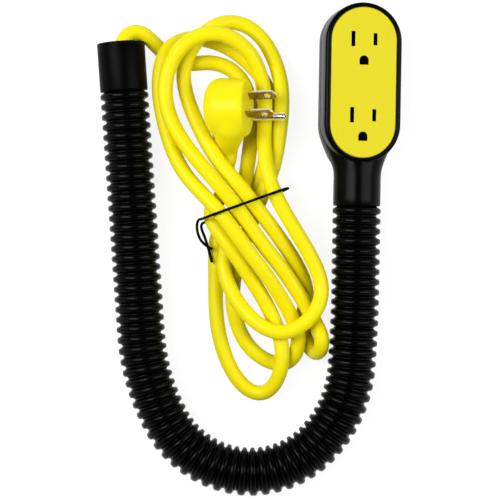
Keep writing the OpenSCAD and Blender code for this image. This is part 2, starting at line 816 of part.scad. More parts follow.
module blade(side) {
    color("#c8b98a") at_plug()
        translate([blade_line, side * blade_gap / 2 + blade_t / 2, 0])
            rotate([90, 0, 0]) linear_extrude(blade_t) difference() {
                polygon([
                    [-blade_w / 2, -blade_hold], [blade_w / 2, -blade_hold],
                    [blade_w / 2, blade_len - blade_taper], [blade_w / 2 - blade_taper, blade_len],
                    [blade_taper - blade_w / 2, blade_len], [-blade_w / 2, blade_len - blade_taper]
                ]);
                translate([0, blade_len - blade_hole_at]) circle(d = blade_hole_d);
            }
}

module ground_pin() {
    color("#c8b98a") at_plug() translate([blade_line + ground_gap, 0, -blade_hold]) {
        cylinder(d = pin_d, h = blade_hold + pin_len - pin_d / 2);
        translate([0, 0, blade_hold + pin_len - pin_d / 2]) sphere(d = pin_d);
    }
}

function drawn(name) = node == "all" || node == name;

if (drawn("end_cuff")) end_cuff();
if (drawn("cord_gland")) cord_gland();
for (i = [0:links - 1]) {
    if (drawn(str("hose_link_", i + 1))) hose_link(i);
    if (drawn(str("cable_link_", i + 1))) cable_link(i);
    if (drawn(str("armature_link_", i + 1))) armature_link(i);
}
if (drawn("neck_insert")) neck_insert();
if (drawn("head_back_shell")) head_back_shell();
if (drawn("head_front_shell")) head_front_shell();
if (drawn("face_plate")) face_plate();
if (drawn("outlet_carrier")) outlet_carrier();
if (drawn("line_bus")) blade_bus(1);
if (drawn("neutral_bus")) blade_bus(-1);
if (drawn("ground_bus")) ground_bus();
if (drawn("line_wire")) blade_wire(1, "black");
if (drawn("neutral_wire")) blade_wire(-1, "white");
if (drawn("ground_wire")) ground_wire();
if (drawn("cable_clamp")) cable_clamp();
if (drawn("clamp_screws")) clamp_screws();
if (drawn("head_screws")) head_screws();
if (drawn("cord_lead")) cord_lead();
if (drawn("cord_hank")) cord_hank();
if (drawn("wire_tie")) wire_tie();
if (drawn("plug_body")) plug_body();
if (drawn("plug_tail")) plug_tail();
if (drawn("plug_insert")) plug_insert();
if (drawn("line_blade")) blade(-1);
if (drawn("neutral_blade")) blade(1);
if (drawn("ground_pin")) ground_pin();
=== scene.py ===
# A grounded extension cord, tied up in a hank, whose other end is a posable ribbed hose
# with a two-outlet head. It lies on a white table and is seen from straight above.
import math

import bmesh
import bpy
from mathutils import Matrix, Vector


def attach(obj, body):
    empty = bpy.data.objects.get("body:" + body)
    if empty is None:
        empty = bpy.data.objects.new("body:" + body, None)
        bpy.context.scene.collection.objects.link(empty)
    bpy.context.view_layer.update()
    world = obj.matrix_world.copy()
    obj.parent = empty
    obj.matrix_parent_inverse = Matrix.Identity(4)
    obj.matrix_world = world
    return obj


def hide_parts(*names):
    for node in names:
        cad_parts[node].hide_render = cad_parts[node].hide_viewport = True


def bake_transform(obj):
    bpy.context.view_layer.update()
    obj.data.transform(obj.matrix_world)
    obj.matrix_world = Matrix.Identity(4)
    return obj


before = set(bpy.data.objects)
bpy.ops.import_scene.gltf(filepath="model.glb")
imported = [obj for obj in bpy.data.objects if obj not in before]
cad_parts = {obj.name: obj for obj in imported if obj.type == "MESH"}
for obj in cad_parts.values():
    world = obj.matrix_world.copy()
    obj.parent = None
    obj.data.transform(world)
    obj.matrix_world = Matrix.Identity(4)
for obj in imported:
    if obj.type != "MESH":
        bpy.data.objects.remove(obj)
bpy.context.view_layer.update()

# The studio: a camera straight above a white table, a large softbox on the left, a smaller one
# on the right, and pale walls that fade to a dark ceiling, so black faces stay black.
# The table glows for the eye and for reflections, and still takes the object's shadow.
scene = bpy.context.scene
scene.view_settings.view_transform = "Standard"

EYE_HEIGHT = 1.2
camera_data = bpy.data.cameras.new("camera")
camera_data.sensor_width = 36
camera_data.lens = 150.3
camera = bpy.data.objects.new("camera", camera_data)
camera.location = (0.00065, 0.0001, EYE_HEIGHT)
scene.collection.objects.link(camera)
scene.camera = camera


def softbox(name, place, across, power):
    lamp = bpy.data.lights.new(name, "AREA")
    lamp.shape = "RECTANGLE"
    lamp.size, lamp.size_y = across
    lamp.energy = power
    stand = bpy.data.objects.new(name, lamp)
    facing = Vector(place).to_track_quat("Z", "Y").to_matrix().to_4x4()
    stand.matrix_world = Matrix.Translation(place) @ facing
    scene.collection.objects.link(stand)


softbox("left_softbox", (-0.75, 0.25, 1.15), (0.55, 1.1), 17)
softbox("right_softbox", (0.95, 0.1, 0.95), (0.5, 1.1), 9)


class Tint:
    """One output in a material's nodes. Arithmetic on it adds Math nodes."""

    def __init__(self, tree, socket=None):
        self.tree = tree
        self.socket = socket

    def node(self, kind, settings=(), sockets=(), out=0):
        """Any other node: its settings first, then the values or links of its sockets."""
        made = self.tree.nodes.new("ShaderNode" + kind)
        for name, value in dict(settings).items():
            if name == "stops":
                for stop, (place, shade) in zip(made.color_ramp.elements, value):
                    stop.position = place
                    stop.color = shade
            else:
                setattr(made, name, value)
        for name, value in dict(sockets).items():
            if isinstance(value, Tint):
                self.tree.links.new(value.socket, made.inputs[name])
            else:
                made.inputs[name].default_value = value
        return Tint(self.tree, made.outputs[out] if made.outputs else None)

    def maths(self, operation, first, second):
        return self.node("Math", {"operation": operation}, {0: first, 1: second})

    def __add__(self, other):
        return self.maths("ADD", self, other)

    def __mul__(self, other):
        return self.maths("MULTIPLY", self, other)

    __radd__ = __add__
    __rmul__ = __mul__


world = bpy.data.worlds.new("studio")
scene.world = world
world.use_nodes = True
room = Tint(world.node_tree)
WALL_WHITE, CEILING_DARK = (1, 1, 1, 1), (0.035, 0.035, 0.035, 1)
way = room.node("TexCoord", out="Generated")
height = room.node("SeparateXYZ", (), {0: way}, out=2)
walls = room.node(
    "ValToRGB",
    {"stops": [(0.12, WALL_WHITE), (0.62, CEILING_DARK)]},
    {0: height},
)
world.node_tree.links.new(walls.socket, world.node_tree.nodes["Background"].inputs["Color"])

table_paint = bpy.data.materials.new("table_white")
table_paint.use_nodes = True
table_paint.node_tree.nodes.clear()
table = Tint(table_paint.node_tree)
matt = table.node("BsdfDiffuse", (), {"Color": (0.5, 0.5, 0.5, 1)})
shaded = table.node("BsdfDiffuse", (), {"Color": (0.22, 0.22, 0.22, 1)})
glow = table.node("Emission", (), {"Strength": 0.88})
both = table.node("AddShader", (), {0: shaded, 1: glow})
seen = (
    table.node("LightPath", out="Is Camera Ray")
    + table.node("LightPath", out="Is Glossy Ray")
    + table.node("LightPath", out="Is Transmission Ray")
)
top = table.node("MixShader", (), {0: seen, 1: matt, 2: both})
table.node("OutputMaterial", (), {"Surface": top})

TABLE_HALF = 6
table_mesh = bmesh.new()
bmesh.ops.create_grid(table_mesh, x_segments=1, y_segments=1, size=TABLE_HALF)
table_data = bpy.data.meshes.new("table")
table_mesh.to_mesh(table_data)
table_mesh.free()
table_data.materials.append(table_paint)
table_top = bpy.data.objects.new("table", table_data)
scene.collection.objects.link(table_top)

# The cord: 1.8 m of round three-core lead in a glossy yellow PVC jacket, 8.6 mm thick.
# It leaves the gland in the cuff, lies in a hank of long loops, and ends in the plug.
# Each point, in millimetres, is where a loop turns, crosses or lies on another.
MM = 0.001
CORD_D = 8.6
START_HEADING = math.radians(4)
hose_way = Vector((math.sin(START_HEADING), -math.cos(START_HEADING), 0))
gland_point = Vector((-71.996, 105.862, 13.55))
tail_point = Vector((-12.2, 48, 12))
tail_root = Vector((-13.2, 73, 14.5))
tail_way = (tail_root - tail_point).normalized()
lead = [
    (-71, 119.5, 13.5), (-67, 123.5, 12.5), (-61, 123.5, 11), (-55.5, 119.5, 8), (-50.5, 114.5, 5),
    (-43.5, 109.5, 5), (-33.5, 106.5, 5), (-22, 107.5, 5), (-10.5, 103.5, 5), (-2.5, 94.5, 5),
    (1, 82, 5), (1.5, 68, 5),
]
first_loop = [
    (0, 55, 5), (-1.5, 43, 9), (-4, 33.5, 13.5), (-6.5, 24.5, 16.5), (-11, 5.5, 12), (-14.5, -9, 14),
    (-7, -28.5, 18), (7.5, -43, 23), (22, -46, 24), (36.5, -36, 24), (41, -20, 21.5), (33, 0, 22.5),
    (16, 28.5, 24), (10, 48, 22), (8.5, 66.5, 17.5), (9, 88, 14.5), (1, 111.5, 19.5), (-18.5, 122.5, 24.5),
    (-38, 114.5, 24), (-47, 93, 24), (-41.5, 67.5, 25), (-19.5, 40, 27.5),
]
second_loop = [
    (-5, 22, 26), (6, 5.5, 23), (18.5, -10, 19.5), (30, -27.5, 14.5), (37, -40, 14.5), (41, -49, 20),
    (40.5, -57, 14.5), (37, -58, 6.5), (33.5, -52.5, 5), (30, -40.5, 5), (33, -27, 5),
    (27.5, -8, 12.5), (4, 24.5, 23), (-9.5, 41.5, 23.5), (-22, 57.5, 21.5), (-37, 92, 14.5),
    (-33.5, 111.5, 15), (-24, 124, 15), (-9.5, 130.5, 6.5), (7.5, 121.5, 5.5), (18, 97, 12),
    (18, 73, 13), (14.5, 49.5, 13.5), (10, 37.5, 13.5),
]
third_loop = [
    (5, 25, 12.5), (-2.5, 5, 6.5), (-8.5, -15.5, 5.5), (-8.5, -35, 5), (-2.5, -51.5, 5), (7.5, -61.5, 5),
    (18.5, -65, 5), (26, -60, 9.5), (28, -49, 14), (24, -37.5, 14), (12.5, -17.5, 22), (-0.5, -0.5, 27.5),
    (-13.5, 18, 29), (-28, 34, 24.5), (-41.5, 52, 19), (-51, 88, 14.5), (-47.5, 111.5, 15),
    (-38.5, 119, 9.5), (-28.5, 121, 5), (-11, 115.5, 5), (5.5, 101, 5), (12.5, 85.5, 5), (12.5, 66, 5),
    (9, 50, 5.5), (5, 36.5, 5.5),
]
last_loop = [
    (-4.5, 25, 6.5), (-16, 12.5, 5.5), (-19, 1, 5), (-19, -17, 5), (-18.5, -39, 5), (-14.5, -57.5, 5),
    (-6.5, -74, 5), (5, -82, 5.5), (14.5, -76.5, 10), (18.5, -64, 15.5), (18, -51, 14.5), (11, -32.5, 15),
    (0, -14.5, 19), (-11.5, 3, 22.5), (-22, 18.5, 17.5), (-18, 27, 14.5), (-14.5, 33, 12.5),
]
cord_start = [gland_point - hose_way * CORD_D / 2 * k for k in range(3)]
cord_end = [tail_point - tail_way * CORD_D / 2 * k for k in (2, 1, 0)]
cord_points = cord_start + lead + first_loop + second_loop + third_loop + last_loop + cord_end


def smooth_strand(name, points, thickness, sides, steps):
    """A round strand on one smooth curve through points that are in millimetres."""
    stops = [Vector(p) * MM for p in points]
    padded = [2 * stops[0] - stops[1]] + stops + [2 * stops[-1] - stops[-2]]
    pulled = [(8 * b - a - c) / 6 for a, b, c in zip(padded, padded[1:], padded[2:])]
    pulled = [2 * pulled[0] - pulled[1]] + pulled + [2 * pulled[-1] - pulled[-2]]
    line = bpy.data.curves.new(name, "CURVE")
    line.dimensions = "3D"
    line.bevel_depth = thickness / 2 * MM
    line.bevel_resolution = sides
    line.use_fill_caps = True
    strand = line.splines.new("NURBS")
    strand.points.add(len(pulled) - 1)
    for control, place in zip(strand.points, pulled):
        control.co = (*place, 1)
    strand.order_u = 4
    strand.resolution_u = steps
    made = bpy.data.objects.new(name, line)
    scene.collection.objects.link(made)
    return made


def finish(name, surface):
    """A material whose shader takes the values and links that surface gives."""
    made = bpy.data.materials.new(name)
    made.use_nodes = True
    shader = made.node_tree.nodes["Principled BSDF"]
    for socket, value in surface(Tint(made.node_tree)).items():
        if isinstance(value, Tint):
            made.node_tree.links.new(value.socket, shader.inputs[socket])
        else:
            shader.inputs[socket].default_value = value
    return made


def speckle(tint, size, detail=2):
    """Soft noise whose grains are about this many millimetres across."""
    place = tint.node("TexCoord", out="Object")
    return tint.node("TexNoise", (), {"Vector": place, "Scale": 1 / (size * MM), "Detail": detail})


def between(tint, share, low, high):
    """A colour that goes from low to high as share goes from 0 to 1."""
    return tint.node("Mix", {"data_type": "RGBA"}, {0: share, 6: (*low, 1), 7: (*high, 1)}, out=2)


def bumped(tint, grain, depth):
    """A surface raised by up to depth millimetres by the grain."""
    return tint.node("Bump", (), {"Strength": 1, "Distance": depth * MM, "Height": grain})


def yellow_jacket(tint):
    cloudy = speckle(tint, 18)
    return {
        "Base Color": between(tint, cloudy, (0.87, 0.76, 0.002), (0.92, 0.81, 0.003)),
        "Roughness": 0.34 + 0.1 * cloudy,
        "Specular IOR Level": 0.16,
        "Normal": bumped(tint, speckle(tint, 2.2, 3), 0.02),
    }


cord_pvc = finish("cord_yellow_pvc", yellow_jacket)
cord = smooth_strand("cord", cord_points, CORD_D, 5, 6)
cord.data.materials.append(cord_pvc)
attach(cord, "base")
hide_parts("cord_lead", "cord_hank")

# The tie: a black plastic-coated wire bent once round the waist of the hank.
# Its two ends cross at the left and stand off, one curled up and one hanging down.
TIE_D = 1.6
TIE_SPREAD = 1.4
tie_start = Vector((-26, 16.5, 0))
tie_way = Vector((44, 17, 0)).normalized()
tie_across = Vector((-tie_way.y, tie_way.x, 0))
tie_loop = [
    (-2, 18), (-1, 22), (2.5, 27.5), (7, 32.5), (11.5, 34.5), (18, 34), (25, 33), (32, 31.5), (39, 30.5),
    (45, 29.5), (49.5, 27.5), (51.5, 23.5), (50, 18.5), (45, 12.5), (39, 6.5), (32, 2.5), (24, 1), (15, 1),
    (8.5, 3.5), (3, 9), (-2, 15.5),
]
tie_turn = []
for k, (run, rise) in enumerate(tie_loop):
    aside = TIE_SPREAD * (1 - 2 * k / (len(tie_loop) - 1))
    tie_turn.append(tie_start + run * tie_way + Vector((0, 0, rise)) + aside * tie_across)
tie_points = (
    [(-21, 0.5, 13.5), (-27.5, 5.5, 15), (-29.5, 13.5, 16.5)]
    + tie_turn
    + [(-25, 7.5, 12.5), (-23, 0.5, 11), (-21, -7, 11)]
)


def tie_coating(tint):
    dust = speckle(tint, 3)
    return {
        "Base Color": between(tint, dust, (0.001, 0.001, 0.0011), (0.003, 0.003, 0.0032)),
        "Roughness": 0.4 + 0.2 * dust,
        "Specular IOR Level": 0.04,
        "Normal": bumped(tint, speckle(tint, 0.8), 0.01),
    }


tie = smooth_strand("wire_tie", tie_points, TIE_D, 3, 4)
tie.data.materials.append(finish("tie_black_coating", tie_coating))
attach(tie, "base")
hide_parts("wire_tie")

# The cuff: a smooth black rubber sleeve moulded on the hose's end, open at the top.
# Its spigot grips the hose from inside, and the cord's gland sits on the ledge within it.
HOSE_Z = 13.55
hose_start = Vector((-70.9078, 90.2995, HOSE_Z))
CUFF_R, CUFF_LEN, CUFF_WALL, RIM = 13.55, 27.6, 2, 0.6
GLAND_SEAT = 7.6
SPIGOT_LEN, SPIGOT_R, SPIGOT_BORE = 12, 9.3, 7.7


def rounded(centre, radius, first, last, steps=4):
    """Points of an arc in a flat profile, with its angles in degrees."""
    angles = [math.radians(first + (last - first) * k / steps) for k in range(steps + 1)]
    return [(centre[0] + radius * math.cos(a), centre[1] + radius * math.sin(a)) for a in angles]


def lathe(profile, sides, closed=True):
    """A bmesh turned about z from a profile of radius and height."""
    turned = bmesh.new()
    chain = [turned.verts.new((radius, 0, rise)) for radius, rise in profile]
    for a, b in zip(chain, chain[1:] + chain[:1] if closed else chain[1:]):
        turned.edges.new((a, b))
    bmesh.ops.spin(
        turned, geom=turned.verts[:] + turned.edges[:], cent=(0, 0, 0), axis=(0, 0, 1),
        angle=2 * math.pi, steps=sides, use_merge=True,
    )
    bmesh.ops.remove_doubles(turned, verts=turned.verts[:], dist=0.001)
    bmesh.ops.recalc_face_normals(turned, faces=turned.faces[:])
    return turned


def settle(name, shape, paint, body=None, nodes=(), crease=40):
    """Makes a finished bmesh, in millimetres, into a piece that rides on a body."""
    data = bpy.data.meshes.new(name)
    bmesh.ops.scale(shape, vec=(MM, MM, MM), verts=shape.verts[:])
    shape.to_mesh(data)
    shape.free()
    data.polygons.foreach_set("use_smooth", [True] * len(data.polygons))
    data.set_sharp_from_angle(angle=math.radians(crease))
    data.materials.append(paint)
    made = bpy.data.objects.new(name, data)
    scene.collection.objects.link(made)
    if body:
        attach(made, body)
    if nodes:
        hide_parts(*nodes)
    return made


def cuff_rubber(tint):
    bloom = speckle(tint, 9)
    grain = speckle(tint, 0.5)
    return {
        "Base Color": between(tint, bloom, (0.0006, 0.0006, 0.0007), (0.0016, 0.0016, 0.0017)),
        "Roughness": 0.3 + 0.1 * bloom,
        "Specular IOR Level": 0.03,
        "Normal": bumped(tint, grain, 0.012),
    }


cuff_black = finish("cuff_black_rubber", cuff_rubber)
cuff_profile = (
    rounded((CUFF_R - RIM, RIM), RIM, -90, 0)
    + rounded((CUFF_R - RIM, CUFF_LEN - RIM), RIM, 0, 90)
    + rounded((CUFF_R - CUFF_WALL + RIM, CUFF_LEN - RIM), RIM, 90, 180)
    + [(CUFF_R - CUFF_WALL, GLAND_SEAT), (SPIGOT_BORE, GLAND_SEAT), (SPIGOT_BORE, -SPIGOT_LEN)]
    + [(SPIGOT_R, -SPIGOT_LEN), (SPIGOT_R, 0)]
)
cuff = lathe(cuff_profile, 64)
cuff_place = Matrix.Translation(hose_start) @ (-hose_way).to_track_quat("Z", "Y").to_matrix().to_4x4()
cuff.transform(cuff_place)
settle("end_cuff", cuff, cuff_black, "base", ["end_cuff"])

# The gland: a dark moulded nylon ring pushed down on the ledge inside the cuff.
# The cord runs through it, and it keeps a pull on the cord off the cable in the hose.
def gland_plastic(tint):
    bloom = speckle(tint, 4)
    return {
        "Base Color": between(tint, bloom, (0.004, 0.004, 0.0045), (0.009, 0.009, 0.0095)),
        "Roughness": 0.5 + 0.15 * bloom,
        "Specular IOR Level": 0.15,
        "Normal": bumped(tint, speckle(tint, 0.4), 0.01),
    }


# This dark plastic is also put on the face's hole walls as painted shade.
dark_plastic_and_hole_shade = finish("dark_moulded_plastic_and_hole_shade", gland_plastic)


def dress(paint, *nodes):
    """Gives CAD solids a finish."""
    for name in nodes:
        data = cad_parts[name].data
        data.materials.clear()
        data.materials.append(paint)


dress(dark_plastic_and_hole_shade, "cord_gland")

# The hose: one length of black rubber, moulded with 75 round ribs and narrow grooves.
# It bends everywhere, so it is cut at groove bottoms into lengths that reach across the hinges, each laid
# along the hose's bend.
RIB_PITCH, RIB_R, GROOVE_R, BORE_R = 5.75, 13.75, 11.3, 9.5
HOSE_SIDES = 56
link_ribs = [8, 8, 8, 9, 9, 9, 8, 8, 8]
link_turn = [0, 0, 0, 24, 54, 56, 37.5, 3.5, 0]
link_bodies = ["base", "hose_2", "hose_3", "hose_4", "hose_5", "hose_6", "hose_7", "hose_8", "head"]
half_rib = [(0, 0), (0.06, 0.02), (0.12, 0.16), (0.17, 0.42), (0.22, 0.7), (0.29, 0.9), (0.39, 0.985)]
rib_shape = half_rib + [(0.5, 1)] + [(1 - run, rise) for run, rise in reversed(half_rib[1:])]


def along(heading):
    return Vector((math.sin(math.radians(heading)), -math.cos(math.radians(heading)), 0))


def inward(heading):
    return Vector((math.cos(math.radians(heading)), math.sin(math.radians(heading)), 0))


def on_hose(run):
    """The hose's axis and heading at a distance along it from the cuff."""
    point, heading = hose_start.copy(), math.degrees(START_HEADING)
    for ribs, turn in zip(link_ribs, link_turn):
        length = ribs * RIB_PITCH
        step = min(run, length)
        swing = turn * step / length
        if turn:
            radius = length / math.radians(turn)
            point += radius * (inward(heading) - inward(heading + swing))
        else:
            point += step * along(heading)
        heading += swing
        run -= step
        if run <= 0:
            break
    return point, heading


def bend(shape):
    """Lays a straight length along the hose: x towards the bend's centre, y up, z along."""
    for vert in shape.verts:
        point, heading = on_hose(vert.co.z)
        vert.co = point + vert.co.x * inward(heading) + Vector((0, 0, vert.co.y))
        vert.co.z = max(vert.co.z, 0)


def hose_rubber(tint):
    bloom = speckle(tint, 14)
    grain = speckle(tint, 0.6)
    return {
        "Base Color": between(tint, bloom, (0.0006, 0.0006, 0.0007), (0.0016, 0.0016, 0.0017)),
        "Roughness": 0.18 + 0.08 * bloom,
        "Specular IOR Level": 0.07,
        "Normal": bumped(tint, grain, 0.01),
    }


hose_black = finish("hose_black_rubber", hose_rubber)
rib_starts = [sum(link_ribs[:k]) for k in range(len(link_ribs) + 1)]
middles = [first + ribs // 2 for first, ribs in zip(rib_starts, link_ribs)]
hose_cuts = [0] + middles + [rib_starts[-1]]
BLEND_INSET = 1.5
for k, (first, last) in enumerate(zip(hose_cuts, hose_cuts[1:])):
    outside = [
        (GROOVE_R + (RIB_R - GROOVE_R) * rise, (rib + run) * RIB_PITCH)
        for rib in range(first, last) for run, rise in rib_shape[:-1]
    ]
    outside.append((GROOVE_R, last * RIB_PITCH))
    bore = [(BORE_R, rib * RIB_PITCH) for rib in range(last, first - 1, -1)]
    length = lathe(outside + bore, HOSE_SIDES)
    bend(length)
    ends = k == 0 or k == len(hose_cuts) - 2
    body = link_bodies[min(k, len(link_bodies) - 1)] if ends else None
    name = f"hose_length_{k + 1}"
    made = settle(name, length, hose_black, body, [], 80)
    if k < len(link_bodies):
        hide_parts(f"hose_link_{k + 1}")
    if not ends:
        start = on_hose((first + BLEND_INSET) * RIB_PITCH)[0] * MM
        stop = on_hose((last - BLEND_INSET) * RIB_PITCH)[0] * MM
        link_bodies[k - 1]
        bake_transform(made)

# Inside the hose: a yellow three-core cable that runs on from the gland to the head's clamp.
# A soft steel wire lies beside it in the bore, and keeps the bend that the hose is given.
def armature_steel(tint):
    dull = speckle(tint, 2)
    return {
        "Base Color": between(tint, dull, (0.42, 0.42, 0.43), (0.56, 0.56, 0.57)),
        "Metallic": 1.0,
        "Roughness": 0.3 + 0.2 * dull,
        "Normal": bumped(tint, speckle(tint, 0.3), 0.004),
    }


steel = finish("bright_steel", armature_steel)
dress(cord_pvc, *[f"cable_link_{k}" for k in range(1, 10)])
dress(steel, *[f"armature_link_{k}" for k in range(1, 10)])

# The head's shells: two black moulded halves that part along the hose's axis, held by four screws.
# The front one carries a round-edged rim about the face, and the neck swells into it from the collar.
COLLAR_R, COLLAR_LEN, COLLAR_LIP = 13.45, 16, 0.6
HEAD_HALF, CAP_NEAR, CAP_FAR = 21.9, 46, 92.6
HEAD_FRONT, HEAD_BACK = 13.5, 10.5
FRONT_ROUND, BACK_ROUND = 2, 4
NECK_FRONT = 12.3
OPENING_HALF, OPENING_NEAR, OPENING_FAR, OPENING_EDGE = 18.85, 45.6, 93, 0.25
SHELL_WALL = 1.8
SEAM = 0.12
HEAD_TILT = math.radians(9)
hose_end, end_heading = on_hose(rib_starts[-1] * RIB_PITCH)
head_place = (
    Matrix.Translation(hose_end)
    @ Matrix.Rotation(math.radians(end_heading - 180), 4, "Z")
    @ Matrix.Rotation(HEAD_TILT, 4, "Y")
)


def loft(shape, rows, ring=False):
    """Extrudes a chain of vertices from row to row, and gives the last chain's edges back."""
    chain = [shape.verts.new(place) for place in rows[0]]
    edges = [shape.edges.new(pair) for pair in zip(chain, chain[1:])]
    if ring:
        edges.append(shape.edges.new((chain[-1], chain[0])))
    for row in rows[1:]:
        made = bmesh.ops.extrude_edge_only(shape, edges=edges)["geom"]
        fresh = {part for part in made if isinstance(part, bmesh.types.BMVert)}
        heirs = [
            next(e.other_vert(old) for e in old.link_edges if e.other_vert(old) in fresh) for old in chain
        ]
        edges = [part for part in made if isinstance(part, bmesh.types.BMEdge) and set(part.verts) <= fresh]
        for heir, place in zip(heirs, row):
            heir.co = place
        chain = heirs
    return edges


def swell(y, narrow, wide):
    """A smooth change from the collar's size to the head's along the neck."""
    share = min(max((y - COLLAR_LEN) / (CAP_NEAR - COLLAR_LEN), 0), 1)
    return narrow + (wide - narrow) * (1 - math.cos(math.pi * share)) / 2


def mouth(y):
    """How far the collar's rounded mouth draws in."""
    return COLLAR_LIP * (1 - math.sqrt(1 - max(1 - y / COLLAR_LIP, 0) ** 2))


def head_plastic(tint):
    bloom = speckle(tint, 16)
    grain = speckle(tint, 0.45)
    return {
        "Base Color": between(tint, bloom, (0.0006, 0.0006, 0.0006), (0.0014, 0.0014, 0.0014)),
        "Roughness": 0.22 + 0.08 * bloom,
        "Specular IOR Level": 0.06,
        "Normal": bumped(tint, grain, 0.008),
    }


head_black = finish("head_black_plastic", head_plastic)
ARC_STEPS, END_STEPS = 12, 32
near_tip = CAP_NEAR - HEAD_HALF
neck_rows = [0, 0.08, 0.25, 0.6, 4, 8, 12, COLLAR_LEN] + [
    COLLAR_LEN + (near_tip - COLLAR_LEN) * k / 4 for k in range(1, 5)
]
cap_rows = [CAP_NEAR - HEAD_HALF * math.cos(math.pi / 2 * k / 16) for k in range(1, 17)]


def neck_arc(side, y):
    """The neck's front at one distance along it, from the parting line to the rim's foot."""
    wide = swell(y, COLLAR_R, HEAD_HALF) - mouth(y)
    high = swell(y, COLLAR_R, NECK_FRONT) - mouth(y)
    at_rim = math.sqrt(max(HEAD_HALF**2 - (CAP_NEAR - y) ** 2, 0)) if y > near_tip else 0
    foot = math.acos(min(at_rim / wide, 1))
    angles = [foot * k / ARC_STEPS for k in range(ARC_STEPS + 1)]
    return [(side * wide * math.cos(a), y, max(high * math.sin(a), SEAM)) for a in angles]


def oblong(half, near, far, rise):
    """A round-ended loop at one height: the near end, then the far end."""
    turns = [math.pi * k / END_STEPS for k in range(END_STEPS + 1)]
    return [(-half * math.cos(a), near - half * math.sin(a), rise) for a in turns] + [
        (half * math.cos(a), far + half * math.sin(a), rise) for a in turns
    ]


def rim_foot(x, y):
    """Where the rim's wall starts: on the neck at the near end, else at the parting line."""
    if y >= CAP_NEAR:
        return SEAM
    share = min(abs(x) / swell(y, COLLAR_R, HEAD_HALF), 1)
    return max(swell(y, COLLAR_R, NECK_FRONT) * math.sqrt(1 - share**2), SEAM)


front = bmesh.new()
for side in (1, -1):
    loft(front, [neck_arc(side, y) for y in neck_rows + cap_rows])
wall_top = HEAD_FRONT - FRONT_ROUND
rim_line = [(x, y) for x, y, _ in oblong(HEAD_HALF, CAP_NEAR, CAP_FAR, 0)]
feet = [rim_foot(x, y) for x, y in rim_line]
rim_rows = [
    [(x, y, foot + (wall_top - foot) * share) for (x, y), foot in zip(rim_line, feet)]
    for share in (0, 0.5, 1)
]
for inset, rise in rounded((FRONT_ROUND, wall_top), FRONT_ROUND, 180, 90, 7)[1:]:
    row = oblong(HEAD_HALF - inset, CAP_NEAR, CAP_FAR, rise)
    rim_rows.append([(x, y, max(z, foot)) for (x, y, z), foot in zip(row, feet)])
for grow, sunk in ((OPENING_EDGE, 0), (0, OPENING_EDGE), (0, SHELL_WALL)):
    rim_rows.append(oblong(OPENING_HALF + grow, OPENING_NEAR, OPENING_FAR, HEAD_FRONT - sunk))
loft(front, rim_rows, True)
bmesh.ops.remove_doubles(front, verts=front.verts[:], dist=0.01)
bmesh.ops.recalc_face_normals(front, faces=front.faces[:])
front.transform(head_place)


def thicken(piece, wall):
    """Gives a moulded skin its wall, on the inside."""
    made = piece.modifiers.new("wall", "SOLIDIFY")
    made.thickness = wall * MM
    made.offset = -1


front_shell = settle("head_front_shell", front, head_black, "head", ["head_front_shell"], 50)
thicken(front_shell, SHELL_WALL)

# The back shell: moulded in the same black plastic, with a flat back that grows out of the round neck.
# It is screwed to posts on the front shell through four sunk holes.
SCREWS = [(10, 103.6), (-10, 103.6), (8.2, 32.5), (-8.2, 32.5)]
SINK_R, SINK_DEPTH, SINK_EDGE = 2.8, 1.8, 0.15
FLAT_FROM, FLAT_FULL = 20, 29
BACK_STEPS, WALL_SHARE = 14, 0.4


def eased(y, first, last):
    """Goes smoothly from 0 at first to 1 at last."""
    share = min(max((y - first) / (last - first), 0), 1)
    return share * share * (3 - 2 * share)


def back_column(x, y, away):
    """From the parting line at one place on the outline, down round the edge to the flat back."""
    depth = COLLAR_R + (HEAD_BACK - COLLAR_R) * eased(y, COLLAR_LEN, FLAT_FROM) - mouth(y)
    flat = eased(y, FLAT_FROM, FLAT_FULL)
    reach = (abs(x) - BACK_ROUND) * math.sqrt(flat) if y < CAP_NEAR else 0
    column = []
    for k in range(BACK_STEPS + 1):
        share = k / BACK_STEPS
        turn = math.pi / 2 * share
        round_in, round_down = 1 - math.cos(turn), depth * math.sin(turn)
        if share < WALL_SHARE:
            slab_in, slab_down = 0, (depth - BACK_ROUND) * share / WALL_SHARE
        else:
            edge = math.pi / 2 * (share - WALL_SHARE) / (1 - WALL_SHARE)
            slab_in, slab_down = 1 - math.cos(edge), depth - BACK_ROUND + BACK_ROUND * math.sin(edge)
        inset = round_in + (slab_in - round_in) * flat
        down = round_down + (slab_down - round_down) * flat
        span = abs(x) - reach if y < CAP_NEAR else BACK_ROUND
        column.append((x - away[0] * span * inset, y - away[1] * span * inset, min(-down, -SEAM)))
    return column


flare_rows = (
    [y for y in neck_rows if y <= COLLAR_LEN]
    + [COLLAR_LEN + (FLAT_FROM - COLLAR_LEN) * k / 6 for k in range(1, 7)]
    + [FLAT_FROM + (CAP_NEAR - FLAT_FROM) * k / 16 for k in range(1, 16)]
)
right_edge = [(swell(y, COLLAR_R, HEAD_HALF) - mouth(y), y, (1, 0)) for y in flare_rows]
far_turns = [math.pi * k / END_STEPS for k in range(END_STEPS + 1)]
far_edge = [
    (HEAD_HALF * math.cos(a), CAP_FAR + HEAD_HALF * math.sin(a), (math.cos(a), math.sin(a)))
    for a in far_turns
]
back_edge = (
    right_edge
    + [(HEAD_HALF, CAP_NEAR + (CAP_FAR - CAP_NEAR) * k / 4, (1, 0)) for k in range(4)]
    + far_edge
    + [(-HEAD_HALF, CAP_FAR - (CAP_FAR - CAP_NEAR) * k / 4, (-1, 0)) for k in range(1, 5)]
    + [(-x, y, (-1, 0)) for x, y, _ in reversed(right_edge)]
)
back = bmesh.new()
columns = [back_column(*place) for place in back_edge]
loft(back, list(zip(*columns)))


def ring_of(x, y, radius, rise, count=24):
    """A round loop at one height."""
    turns = [2 * math.pi * k / count for k in range(count)]
    return [(x + radius * math.cos(a), y + radius * math.sin(a), rise) for a in turns]


